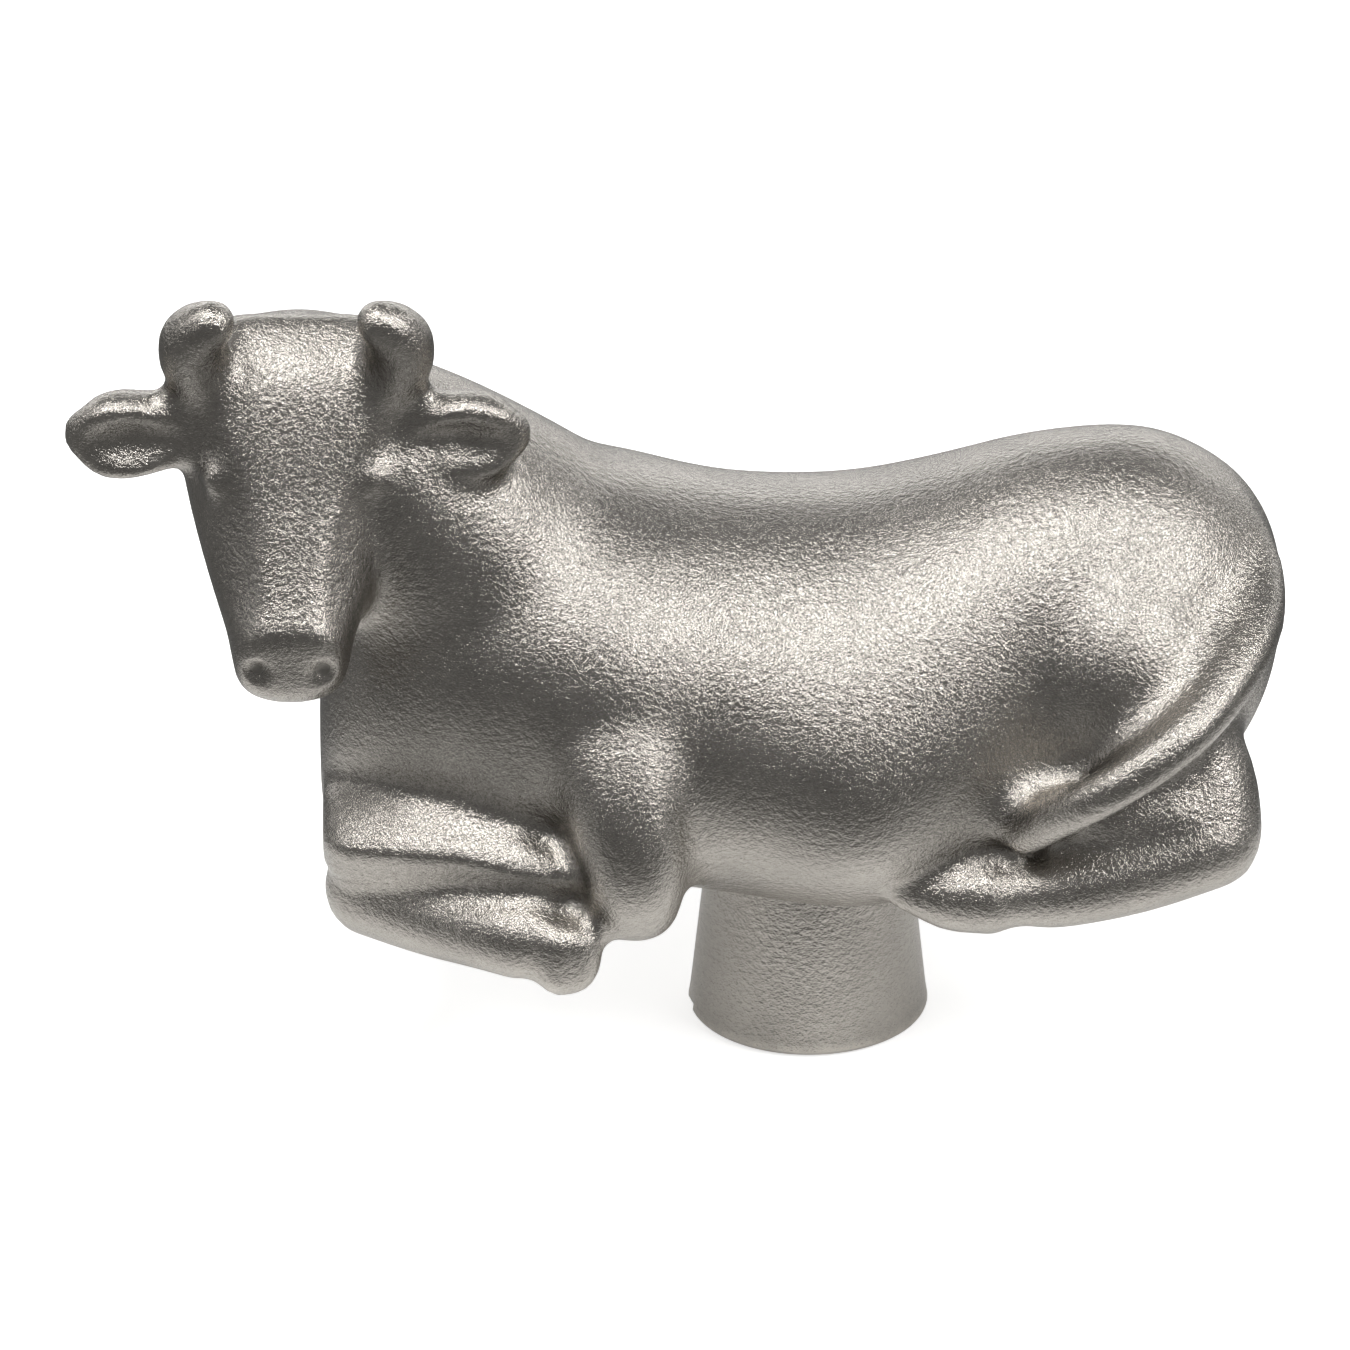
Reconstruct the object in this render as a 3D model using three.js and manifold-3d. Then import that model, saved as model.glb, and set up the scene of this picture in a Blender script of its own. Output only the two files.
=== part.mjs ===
// Lid knob in the shape of a lying cow: a cast figure on a turned stem, with its fixing screw and washers.
//
// Millimetres, +Z up. The origin is the centre of the stem's foot. The cow lies along X, its chest
// towards -X, its left flank towards -Y, and its head is turned to face -Y.

import * as THREE from 'three';
import { LoftGeometry } from 'three/addons/geometries/LoftGeometry.js';
import { mergeVertices } from 'three/addons/utils/BufferGeometryUtils.js';
import Module from 'manifold-3d';

const wasm = await Module();
wasm.setup();

// Stem: a cone with a spigot that seats in the belly, and a counterbore for the screw's head.
const FOOT_RADIUS = 6.53;
const STEM_SHOULDER_RADIUS = 5.4;
const STEM_SHOULDER_Z = 10.6;
const FOOT_EDGE_RADIUS = 0.35;
const SPIGOT_RADIUS = 4.5;
const SPIGOT_TOP_Z = 14;
const SPIGOT_CHAMFER = 0.4;
const COUNTERBORE_RADIUS = 4.9;
const COUNTERBORE_DEPTH = 5.7;

// M5 screw and washers.
const THREAD_RADIUS = 2.3;
const THREAD_GAP = 0.3;
const SCREW_LENGTH = 18;
const SCREW_POINT = 0.6;
const HEAD_RADIUS = 4.25;
const HEAD_HEIGHT = 3.0;
const HEAD_EDGE = 0.5;
const SLOT_WIDTH = 1.2;
const SLOT_DEPTH = 1.4;
const WASHER_HOLE_RADIUS = 2.65;
const PLAIN_WASHER_RADIUS = 4.5;
const PLAIN_WASHER_THICKNESS = 1.0;
const SPRING_WASHER_RADIUS = 4.3;
const SPRING_WASHER_THICKNESS = 1.2;
const SPRING_WASHER_GAP = 0.9;
const STACK_GAP = 0.05;

// Where the screw stack lies, from the ceiling of the counterbore downwards.
const PLAIN_WASHER_TOP_Z = COUNTERBORE_DEPTH - STACK_GAP;
const SPRING_WASHER_TOP_Z = PLAIN_WASHER_TOP_Z - PLAIN_WASHER_THICKNESS - STACK_GAP;
const HEAD_TOP_Z = SPRING_WASHER_TOP_Z - SPRING_WASHER_THICKNESS - STACK_GAP;

// Socket in the casting for the stem, and the drilled hole above it for the screw's end.
const SOCKET_GAP = 0.3;
const SEAT_GAP = 0.05;
const SPIGOT_GAP = 0.3;
const DRILL_RADIUS = 3.0;
const DRILL_CLEARANCE = 1.0;
const DRILL_TOP_Z = HEAD_TOP_Z + SCREW_LENGTH + DRILL_CLEARANCE;
const DRILL_TIP = 1.4;

// Facets round each kind of piece.
const TURNED_SEGMENTS = 48;
const TRUNK_SEGMENTS = 26;
const LIMB_SEGMENTS = 10;
const HAUNCH_SEGMENTS = 22;
const EAR_SEGMENTS = 14;

// Trunk stations from the chest to the rump: place along X, middle height, half width, half height.
const TRUNK = [
	[ - 26.0, 16.0, 4.4, 4.8 ],
	[ - 25.1, 16.6, 7.2, 7.4 ],
	[ - 22.5, 18.4, 9.4, 9.8 ],
	[ - 18.0, 20.4, 11.2, 11.5 ],
	[ - 11.5, 20.6, 12.6, 11.7 ],
	[ - 5.0, 20.0, 13.5, 11.0 ],
	[ 2.0, 20.0, 14.0, 11.1 ],
	[ 8.0, 20.6, 13.5, 11.5 ],
	[ 14.0, 21.4, 11.5, 12.0 ],
	[ 19.0, 22.4, 9.3, 11.0 ],
	[ 22.6, 23.8, 7.2, 7.9 ],
	[ 24.6, 24.4, 4.4, 5.0 ],
	[ 25.4, 24.8, 1.6, 1.8 ],
];

// Neck from inside the shoulders up to the back of the skull: centre and radius.
const NECK = [
	[ - 13.5, 0, 20.5, 11.6 ],
	[ - 17.0, - 0.4, 26.0, 9.6 ],
	[ - 20.6, - 1.6, 31.2, 7.6 ],
	[ - 23.8, - 2.8, 35.4, 5.6 ],
	[ - 26.0, - 3.4, 38.0, 4.2 ],
];

// Head: the poll, the slope of the face, and stations down it. Each station gives the place down the
// face, half widths of the flat front, the cheeks and the underside, and the depth behind the front.
const POLL = [ - 27.25, - 5.2, 44.3 ];
const FACE_SLOPE = THREE.MathUtils.degToRad( 35 );
const HEAD = [
	[ 0.0, 2.6, 3.4, 2.4, 3.4 ],
	[ 0.8, 4.2, 5.0, 3.8, 6.0 ],
	[ 4.0, 5.3, 6.2, 4.8, 8.6 ],
	[ 7.2, 3.3, 6.4, 4.6, 9.8 ],
	[ 9.6, 2.5, 6.1, 4.2, 9.8 ],
	[ 13.0, 1.9, 5.2, 3.4, 8.8 ],
	[ 16.4, 1.7, 4.0, 2.8, 7.2 ],
	[ 18.4, 2.2, 3.2, 2.4, 6.2 ],
	[ 20.2, 2.2, 2.9, 2.2, 5.2 ],
	[ 20.8, 1.6, 2.0, 1.4, 3.8 ],
];

// Horn on the +X side, from its root to its tip: away from the head's middle plane, Y, Z, radius.
const HORN = [
	[ 4.7, - 5.6, 40.2, 1.8 ],
	[ 5.85, - 6.2, 42.0, 1.75 ],
	[ 5.7, - 6.8, 43.6, 1.65 ],
	[ 4.7, - 7.3, 44.7, 1.35 ],
];

// Ears: middle away from the head's middle plane, Y and Z, half length, half thickness, half height.
const EAR_PLACE = [ 9.0, - 6.0, 37.3 ];
const EAR_SIZE = [ 3.45, 1.5, 2.5 ];
const EAR_DROOP = THREE.MathUtils.degToRad( 4 );

// Foreleg, left side: upper arm, then forearm, then the shin folded under it, and the hoof.
const UPPER_ARM = [
	[ - 11.6, - 7.0, 22.0, 5.8 ],
	[ - 11.2, - 8.9, 17.6, 4.9 ],
	[ - 10.4, - 10.0, 13.4, 3.6 ],
];
const FOREARM = [
	[ - 9.8, - 9.2, 13.2, 3.1 ],
	[ - 14.5, - 8.8, 13.6, 2.9 ],
	[ - 20.0, - 7.8, 13.8, 2.7 ],
	[ - 23.4, - 6.2, 12.7, 2.7 ],
];
const FORE_SHIN = [
	[ - 23.5, - 6.4, 10.9, 2.7 ],
	[ - 20.8, - 8.9, 10.1, 2.2 ],
	[ - 16.8, - 11.5, 9.9, 1.85 ],
	[ - 14.8, - 12.5, 9.8, 1.9 ],
];
const FORE_HOOF = [
	[ - 15.0, - 12.5, 9.8, 1.8 ],
	[ - 13.2, - 12.8, 9.6, 2.0 ],
	[ - 12.3, - 12.9, 9.3, 1.7 ],
];

// Hind leg, left side: haunch, shank, then the shin running forward from the hock, and the hoof.
const HAUNCH_PLACE = [ 12.8, - 5.2, 22.8 ];
const HAUNCH_SIZE = [ 10.3, 9.6, 9.2 ];
const SHANK = [
	[ 11.6, - 7.4, 16.8, 4.4 ],
	[ 16.0, - 7.4, 15.6, 4.2 ],
	[ 20.4, - 8.0, 15.8, 3.3 ],
];
const HIND_SHIN = [
	[ 21.2, - 8.5, 16.6, 3.0 ],
	[ 21.4, - 8.8, 15.0, 2.9 ],
	[ 17.4, - 10.0, 13.2, 2.3 ],
	[ 12.2, - 10.6, 12.6, 2.2 ],
	[ 9.6, - 10.8, 12.4, 2.3 ],
];
const HIND_HOOF = [
	[ 9.6, - 10.8, 12.3, 2.3 ],
	[ 7.6, - 11.0, 12.2, 1.9 ],
	[ 4.9, - 11.2, 12.4, 0.9 ],
];

// Tail from the rump round the left haunch to its tuft.
const TAIL = [
	[ 22.6, - 0.8, 30.4, 1.2 ],
	[ 24.4, - 3.0, 27.8, 1.2 ],
	[ 23.9, - 7.6, 26.2, 1.15 ],
	[ 21.2, - 12.0, 24.0, 1.1 ],
	[ 18.6, - 13.6, 22.2, 1.05 ],
	[ 15.4, - 14.1, 20.2, 1.05 ],
	[ 12.6, - 13.3, 18.2, 1.3 ],
	[ 10.8, - 12.4, 16.2, 1.4 ],
];

// A geometry with shared corners, ready for joins and cuts.
function solid( geometry ) {

	const corners = new THREE.BufferGeometry();
	corners.setAttribute( 'position', geometry.attributes.position );
	corners.setIndex( geometry.index );
	const merged = mergeVertices( corners, 1e-4 );
	return new wasm.Manifold( new wasm.Mesh( {
		numProp: 3,
		vertProperties: new Float32Array( merged.attributes.position.array ),
		triVerts: new Uint32Array( merged.index.array ),
	} ) );

}

function geometryOf( manifold ) {

	const mesh = manifold.getMesh();
	const geometry = new THREE.BufferGeometry();
	geometry.setAttribute( 'position', new THREE.BufferAttribute( new Float32Array( mesh.vertProperties ), 3 ) );
	geometry.setIndex( new THREE.BufferAttribute( new Uint32Array( mesh.triVerts ), 1 ) );
	geometry.computeVertexNormals();
	return geometry;

}

function joined( solids ) {

	return solids.reduce( ( whole, next ) => whole.add( next ) );

}

function metal( color, roughness ) {

	return new THREE.MeshStandardMaterial( { color, roughness, metalness: 1 } );

}

// A turned solid about Z from a closed profile of [ radius, height ] points.
function turned( profile ) {

	const points = profile.map( ( [ r, z ] ) => new THREE.Vector2( r, z ) );
	return solid( new THREE.LatheGeometry( points, TURNED_SEGMENTS ).rotateX( Math.PI / 2 ) );

}

function ball( place, size, segments, turn = 0 ) {

	const geometry = new THREE.SphereGeometry( 1, segments, segments / 2 );
	geometry.scale( ...size ).rotateY( turn ).translate( ...place );
	return solid( geometry );

}

// The same stations on the other side of the plane Y = 0.
function onSide( stations, side ) {

	return stations.map( ( [ x, y, z, r ] ) => [ x, - side * y, z, r ] );

}

// A round limb through stations of [ x, y, z, radius ], with ball ends.
function limb( stations ) {

	const curve = new THREE.CatmullRomCurve3( stations.map( ( [ x, y, z ] ) => new THREE.Vector3( x, y, z ) ) );
	const steps = 2 * ( stations.length - 1 );
	const sections = [];
	for ( let i = 0; i <= steps; i ++ ) {

		const along = i / steps;
		const place = along * ( stations.length - 1 );
		const first = Math.min( Math.floor( place ), stations.length - 2 );
		const radius = THREE.MathUtils.lerp( stations[ first ][ 3 ], stations[ first + 1 ][ 3 ], place - first );
		sections.push( ring( curve.getPoint( along ), curve.getTangent( along ), radius ) );

	}

	const ends = [ stations[ 0 ], stations.at( - 1 ) ];
	return joined( [
		solid( new LoftGeometry( sections, { closed: true, capStart: true, capEnd: true } ) ),
		...ends.map( ( [ x, y, z, r ] ) => ball( [ x, y, z ], [ r, r, r ], LIMB_SEGMENTS ) ),
	] );

}

// A circle of points square to a direction, counterclockwise as seen from the limb's far end.
function ring( centre, direction, radius ) {

	const guide = Math.abs( direction.y ) > 0.8 ? new THREE.Vector3( 1, 0, 0 ) : new THREE.Vector3( 0, 1, 0 );
	const across = new THREE.Vector3().crossVectors( guide, direction ).normalize();
	const up = new THREE.Vector3().crossVectors( direction, across ).normalize();
	return Array.from( { length: LIMB_SEGMENTS }, ( _, i ) => {

		const angle = 2 * Math.PI * i / LIMB_SEGMENTS;
		return centre.clone()
			.addScaledVector( across, radius * Math.cos( angle ) )
			.addScaledVector( up, radius * Math.sin( angle ) );

	} );

}

function trunk() {

	const sections = TRUNK.map( ( [ x, z, halfWidth, halfHeight ] ) =>
		Array.from( { length: TRUNK_SEGMENTS }, ( _, i ) => {

			const angle = 2 * Math.PI * i / TRUNK_SEGMENTS;
			return new THREE.Vector3( x, halfWidth * Math.cos( angle ), z + halfHeight * Math.sin( angle ) );

		} ) );
	return solid( new LoftGeometry( sections, { closed: true, capStart: true, capEnd: true } ) );

}

function skull() {

	const down = new THREE.Vector3( 0, - Math.sin( FACE_SLOPE ), - Math.cos( FACE_SLOPE ) );
	const out = new THREE.Vector3( 0, - Math.cos( FACE_SLOPE ), Math.sin( FACE_SLOPE ) );
	const sections = HEAD.map( ( [ t, front, cheek, under, depth ] ) => {

		const outline = [
			[ front, 0 ],
			[ - front, 0 ],
			[ - cheek, - 0.45 * depth ],
			[ - under, - depth ],
			[ under, - depth ],
			[ cheek, - 0.45 * depth ],
		].map( ( [ x, n ] ) => new THREE.Vector3( x, 0, 0 ).addScaledVector( out, n ) );
		const curve = new THREE.CatmullRomCurve3( outline, true, 'centripetal' );
		return curve.getPoints( TRUNK_SEGMENTS ).slice( 0, TRUNK_SEGMENTS )
			.map( ( point ) => point.add( new THREE.Vector3( ...POLL ) ).addScaledVector( down, t ) );

	} );
	return solid( new LoftGeometry( sections, { closed: true, capStart: true, capEnd: true } ) );

}

function horn( side ) {

	return limb( HORN.map( ( [ away, y, z, r ] ) => [ POLL[ 0 ] + side * away, y, z, r ] ) );

}

function ear( side ) {

	const [ away, y, z ] = EAR_PLACE;
	return ball( [ POLL[ 0 ] + side * away, y, z ], EAR_SIZE, EAR_SEGMENTS, side * EAR_DROOP );

}

function legs( side ) {

	const [ x, y, z ] = HAUNCH_PLACE;
	const bones = [ UPPER_ARM, FOREARM, FORE_SHIN, FORE_HOOF, SHANK, HIND_SHIN, HIND_HOOF ];
	return joined( [
		ball( [ x, - side * y, z ], HAUNCH_SIZE, HAUNCH_SEGMENTS ),
		...bones.map( ( bone ) => limb( onSide( bone, side ) ) ),
	] );

}

// The stem's radius at a height, carried on down past the foot so that the socket is cut clean.
function stemRadius( z ) {

	return FOOT_RADIUS + ( STEM_SHOULDER_RADIUS - FOOT_RADIUS ) * z / STEM_SHOULDER_Z;

}

function socket() {

	const seat = STEM_SHOULDER_Z + SEAT_GAP;
	const pocketTop = SPIGOT_TOP_Z + SPIGOT_GAP;
	return turned( [
		[ 0, 0 ],
		[ stemRadius( 0 ) + SOCKET_GAP, 0 ],
		[ stemRadius( seat ) + SOCKET_GAP, seat ],
		[ SPIGOT_RADIUS + SPIGOT_GAP, seat ],
		[ SPIGOT_RADIUS + SPIGOT_GAP, pocketTop ],
		[ DRILL_RADIUS, pocketTop ],
		[ DRILL_RADIUS, DRILL_TOP_Z ],
		[ 0, DRILL_TOP_Z + DRILL_TIP ],
	] );

}

function figureCasting() {

	const cow = joined( [
		trunk(),
		limb( NECK ),
		skull(),
		horn( - 1 ),
		horn( 1 ),
		ear( - 1 ),
		ear( 1 ),
		legs( 1 ),
		legs( - 1 ),
		limb( TAIL ),
	] ).subtract( socket() );
	return new THREE.Mesh( geometryOf( cow ), metal( 0xa39c93, 0.42 ) );

}

function stem() {

	const hole = THREAD_RADIUS + THREAD_GAP;
	const body = turned( [
		[ COUNTERBORE_RADIUS, 0 ],
		[ FOOT_RADIUS - FOOT_EDGE_RADIUS, 0 ],
		[ FOOT_RADIUS, FOOT_EDGE_RADIUS ],
		[ STEM_SHOULDER_RADIUS, STEM_SHOULDER_Z ],
		[ SPIGOT_RADIUS, STEM_SHOULDER_Z ],
		[ SPIGOT_RADIUS, SPIGOT_TOP_Z - SPIGOT_CHAMFER ],
		[ SPIGOT_RADIUS - SPIGOT_CHAMFER, SPIGOT_TOP_Z ],
		[ hole, SPIGOT_TOP_Z ],
		[ hole, COUNTERBORE_DEPTH ],
		[ COUNTERBORE_RADIUS, COUNTERBORE_DEPTH ],
		[ COUNTERBORE_RADIUS, 0 ],
	] );
	return new THREE.Mesh( geometryOf( body ), metal( 0xa39a91, 0.45 ) );

}

function fixingScrew() {

	const bottom = HEAD_TOP_Z - HEAD_HEIGHT;
	const tip = HEAD_TOP_Z + SCREW_LENGTH;
	const blank = turned( [
		[ 0, bottom ],
		[ HEAD_RADIUS - HEAD_EDGE, bottom ],
		[ HEAD_RADIUS, bottom + HEAD_EDGE ],
		[ HEAD_RADIUS, HEAD_TOP_Z ],
		[ THREAD_RADIUS, HEAD_TOP_Z ],
		[ THREAD_RADIUS, tip - SCREW_POINT ],
		[ THREAD_RADIUS - SCREW_POINT, tip ],
		[ 0, tip ],
	] );
	const slot = new THREE.BoxGeometry( 3 * HEAD_RADIUS, SLOT_WIDTH, 2 * SLOT_DEPTH );
	slot.translate( 0, 0, bottom );
	return new THREE.Mesh( geometryOf( blank.subtract( solid( slot ) ) ), metal( 0xb9b9bb, 0.3 ) );

}

// A flat ring with its top face at a height.
function washerRing( radius, thickness, top ) {

	return turned( [
		[ WASHER_HOLE_RADIUS, top - thickness ],
		[ radius, top - thickness ],
		[ radius, top ],
		[ WASHER_HOLE_RADIUS, top ],
		[ WASHER_HOLE_RADIUS, top - thickness ],
	] );

}

function plainWasher() {

	const body = washerRing( PLAIN_WASHER_RADIUS, PLAIN_WASHER_THICKNESS, PLAIN_WASHER_TOP_Z );
	return new THREE.Mesh( geometryOf( body ), metal( 0xb4b4b6, 0.35 ) );

}

function springWasher() {

	const body = washerRing( SPRING_WASHER_RADIUS, SPRING_WASHER_THICKNESS, SPRING_WASHER_TOP_Z );
	const split = new THREE.BoxGeometry( 2 * SPRING_WASHER_RADIUS, SPRING_WASHER_GAP, 2 * SPRING_WASHER_RADIUS );
	split.translate( SPRING_WASHER_RADIUS, 0, SPRING_WASHER_TOP_Z );
	return new THREE.Mesh( geometryOf( body.subtract( solid( split ) ) ), metal( 0x8f8f92, 0.4 ) );

}

const pieces = {
	figure_casting: figureCasting(),
	stem: stem(),
	fixing_screw: fixingScrew(),
	spring_washer: springWasher(),
	plain_washer: plainWasher(),
};

const knob = new THREE.Group();
for ( const [ name, mesh ] of Object.entries( pieces ) ) {

	mesh.name = name;
	knob.add( mesh );

}

export default knob;
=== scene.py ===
"""Lid knob in the shape of a lying cow: the cast figure, its stem, the fixing screw and its washers."""

import math

import bmesh
import bpy
import numpy as np
from bpy.props import FloatProperty, FloatVectorProperty, PointerProperty
from mathutils import Matrix, Vector


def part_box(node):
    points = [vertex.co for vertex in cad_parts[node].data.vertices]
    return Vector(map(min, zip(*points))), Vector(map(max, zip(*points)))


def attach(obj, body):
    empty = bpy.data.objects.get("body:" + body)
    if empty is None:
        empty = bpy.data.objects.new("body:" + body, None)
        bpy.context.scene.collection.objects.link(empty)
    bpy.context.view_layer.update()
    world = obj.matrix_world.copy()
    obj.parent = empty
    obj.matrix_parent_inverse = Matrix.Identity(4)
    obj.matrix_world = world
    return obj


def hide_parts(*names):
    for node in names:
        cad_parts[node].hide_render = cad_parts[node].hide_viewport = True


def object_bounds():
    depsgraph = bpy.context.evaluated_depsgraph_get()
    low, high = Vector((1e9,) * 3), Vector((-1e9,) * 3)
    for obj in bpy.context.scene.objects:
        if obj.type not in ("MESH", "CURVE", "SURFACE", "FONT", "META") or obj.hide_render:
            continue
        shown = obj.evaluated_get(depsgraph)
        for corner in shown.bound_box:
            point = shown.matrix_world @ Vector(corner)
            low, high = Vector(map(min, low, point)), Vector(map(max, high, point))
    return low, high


bl_info = {
    "name": "Cow Lid Knob",
    "version": (1, 0, 0),
    "blender": (4, 5, 0),
    "location": "View3D > Sidebar > Lid Knob",
    "description": "Builds a satin nickel lid knob shaped as a lying cow, with its stem and fixing",
    "category": "Add Mesh",
}

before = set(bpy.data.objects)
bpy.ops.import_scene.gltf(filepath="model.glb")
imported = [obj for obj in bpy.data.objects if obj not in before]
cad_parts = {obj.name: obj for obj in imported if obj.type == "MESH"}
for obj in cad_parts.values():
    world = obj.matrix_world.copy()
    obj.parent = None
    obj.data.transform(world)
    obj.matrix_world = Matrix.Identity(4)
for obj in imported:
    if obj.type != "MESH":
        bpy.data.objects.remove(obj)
CAD_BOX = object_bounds()

MM = 0.001

# The cow's shape, in millimetres.
# Trunk stations from the chest to the rump: place along X, middle height, half width, half height, and how
# much wider the section is below its middle than above.
TRUNK = (
    (-26.4, 17.4, 4.2, 5.4, 0.0),
    (-25.4, 18.6, 6.8, 7.6, -0.05),
    (-22.5, 20.6, 8.8, 9.6, -0.08),
    (-18.0, 21.6, 10.4, 11.2, -0.06),
    (-11.5, 21.0, 12.0, 11.6, 0.0),
    (-5.0, 20.0, 12.2, 11.2, 0.1),
    (1.5, 19.8, 13.7, 11.2, 0.2),
    (7.0, 20.5, 12.4, 11.8, 0.16),
    (12.0, 21.4, 10.4, 12.4, 0.04),
    (18.0, 22.5, 9.4, 11.8, 0.04),
    (22.4, 23.8, 7.2, 8.4, 0.0),
    (24.6, 24.4, 4.4, 5.0, 0.0),
    (25.4, 24.8, 1.6, 1.8, 0.0),
)

# Limb stations: centre, half width across, half height.
NECK = (
    (-13.5, 0, 20.5, 11.4, 11.4),
    (-17.0, -0.4, 26.0, 9.4, 9.4),
    (-20.6, -1.6, 31.2, 7.4, 7.4),
    (-23.8, -2.8, 35.4, 5.6, 5.6),
    (-26.0, -3.4, 38.0, 4.2, 4.2),
)
UPPER_ARM = (
    (-10.8, -4.6, 24.0, 4.4, 4.4),
    (-10.2, -8.0, 20.8, 4.4, 4.4),
    (-9.7, -10.2, 17.5, 3.5, 4.3),
    (-9.4, -11.1, 14.7, 2.9, 3.9),
    (-9.4, -10.8, 12.6, 2.6, 3.2),
)
FORE_SHIN = (
    (-23.6, -6.5, 10.6, 2.6, 2.9),
    (-20.8, -8.9, 10.2, 2.1, 2.3),
    (-17.4, -11.5, 10.4, 1.9, 2.1),
    (-15.2, -12.3, 10.4, 2.1, 2.3),
    (-14.0, -12.6, 10.0, 1.5, 1.7),
)
FORE_HOOF = (
    (-14.4, -12.5, 10.0, 1.5, 1.6),
    (-13.3, -12.8, 9.8, 1.8, 2.2),
    (-12.6, -12.9, 9.7, 1.5, 2.1),
)

# Forearm: place along X, then the Y and Z of its upper edge, its lower edge and its underside.
FOREARM = (
    (-26.2, -6.5, 16.2, -8.3, 14.5, -7.4, 12.5),
    (-25.4, -7.5, 16.8, -9.9, 14.5, -9.0, 12.2),
    (-22.6, -8.4, 17.1, -10.8, 14.7, -9.9, 12.3),
    (-20.4, -8.8, 17.3, -11.4, 14.8, -10.5, 12.4),
    (-18.7, -9.5, 17.1, -11.8, 14.9, -10.9, 12.4),
    (-16.4, -10.6, 16.4, -12.4, 14.6, -11.5, 12.0),
    (-15.0, -11.3, 15.6, -12.5, 14.4, -11.6, 11.8),
    (-12.0, -11.7, 14.5, -12.3, 14.0, -11.4, 11.8),
)
FOREARM_BACK_Y = -1.5
SHANK = (
    (13.4, -5.8, 16.0, 3.2, 3.2),
    (16.0, -7.3, 15.8, 3.9, 3.9),
    (20.0, -8.0, 15.6, 3.2, 3.2),
)
HOCK = (
    (18.8, -5.0, 21.6, 2.6, 2.6),
    (21.2, -7.0, 18.0, 2.6, 2.6),
    (21.9, -8.6, 14.9, 2.5, 2.5),
)
HIND_SHIN = (
    (21.6, -8.9, 14.6, 2.5, 2.6),
    (17.4, -10.0, 13.4, 2.3, 2.4),
    (13.2, -10.6, 12.5, 2.0, 2.1),
    (11.2, -10.8, 12.4, 1.7, 1.8),
    (9.6, -10.8, 12.3, 2.2, 2.2),
)
HIND_HOOF = (
    (9.6, -10.8, 12.3, 1.9, 2.1),
    (7.4, -11.0, 12.3, 1.7, 1.9),
    (4.9, -11.2, 12.6, 0.8, 0.9),
)
TAIL = (
    (22.3, -0.8, 30.5, 1.4, 1.4),
    (24.0, -3.1, 28.0, 1.45, 1.45),
    (23.7, -7.7, 26.3, 1.45, 1.45),
    (21.1, -12.1, 24.0, 1.4, 1.4),
    (18.5, -14.0, 22.3, 1.35, 1.35),
    (15.4, -14.4, 20.3, 1.35, 1.35),
    (12.9, -13.2, 18.2, 1.3, 1.3),
    (11.4, -11.8, 16.4, 1.2, 1.2),
)
HAUNCH = ((16.8, -4.8, 22.7), (7.0, 9.2, 8.6))
FAR_HAUNCH_TUCK = 0.5

# Head: the poll and the slope of the face, then stations down the face: place, how far the front stands
# out, half widths of the flat front, the cheeks and the underside, and the depth behind the front.
POLL = Vector((-27.3, -5.2, 44.3))
FACE_SLOPE = math.radians(27)
FACE_DOWN = Vector((-0.02, -math.sin(FACE_SLOPE), -math.cos(FACE_SLOPE)))
FACE_OUT = Vector((0, -math.cos(FACE_SLOPE), math.sin(FACE_SLOPE)))
SKULL = (
    (0.0, -1.9, 2.8, 3.6, 2.4, 2.4),
    (0.8, -1.3, 4.6, 5.2, 3.8, 4.8),
    (2.4, -0.4, 5.5, 6.0, 4.6, 7.6),
    (4.2, 0.0, 5.2, 6.2, 4.8, 8.6),
    (7.2, 0.0, 3.7, 6.2, 4.6, 9.8),
    (9.6, -0.1, 2.7, 5.8, 4.2, 9.8),
    (13.0, -0.1, 2.0, 4.85, 3.4, 8.8),
    (16.0, 0.0, 1.8, 3.85, 2.8, 7.2),
    (17.3, 0.1, 2.1, 3.4, 2.5, 6.6),
    (18.6, -0.9, 2.6, 3.2, 2.3, 5.2),
    (19.8, -1.8, 2.2, 2.8, 2.0, 3.9),
    (20.5, -2.5, 1.4, 1.8, 1.3, 2.6),
)
CROWN = ((0, -3.0, 40.1), (5.4, 3.6, 2.9))
CHIN = ((0, 19.5, -3.7), (2.4, 1.3, 1.2))
EYE = ((4.4, 8.8, -1.5), (0.65, 0.85, 0.95))
NOSTRIL = (1.75, 19.2, -1.3)
NOSTRIL_REACH = 1.0
NOSTRIL_PUSH = (0, 0.5, 0.1)
HORN = (
    (4.7, -5.6, 40.2, 1.7, 1.7),
    (5.6, -6.2, 42.2, 1.8, 1.8),
    (5.4, -6.8, 43.8, 1.75, 1.75),
    (4.4, -7.3, 44.7, 1.4, 1.4),
)
EAR = (
    (5.0, -4.9, 37.7, 1.6, 1.6),
    (7.2, -5.7, 37.6, 2.0, 2.2),
    (9.4, -6.2, 37.6, 2.0, 2.6),
    (10.9, -6.2, 37.6, 1.6, 2.2),
    (11.5, -6.0, 37.6, 1.1, 1.4),
)
EAR_CUP = (
    (6.8, -7.9, 37.6, 1.5, 1.2),
    (8.9, -8.7, 37.5, 2.6, 1.85),
    (10.7, -8.2, 37.5, 1.6, 1.4),
)

# How fine the casting's surface is, and the fillets where its masses meet.
COARSE = 0.40
FINE = 0.30
RING = 32
BULK_FILLET = 1.8
LIMB_FILLET = 0.8
HEAD_FILLET = 0.3
SKIN_FILLET = 0.35

# Smoothing passes: after a remesh, after a fine one, and over the whole bulk and the finished skin.
REMESH_SMOOTHING = 2
FINE_SMOOTHING = 1
BULK_SMOOTHING = 14
SKIN_SMOOTHING = 3

# Wear: how many smoothing passes an edge is measured against, and where wear begins, in millimetres.
WEAR_REACH = 8
WEAR_START = 0.02

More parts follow.
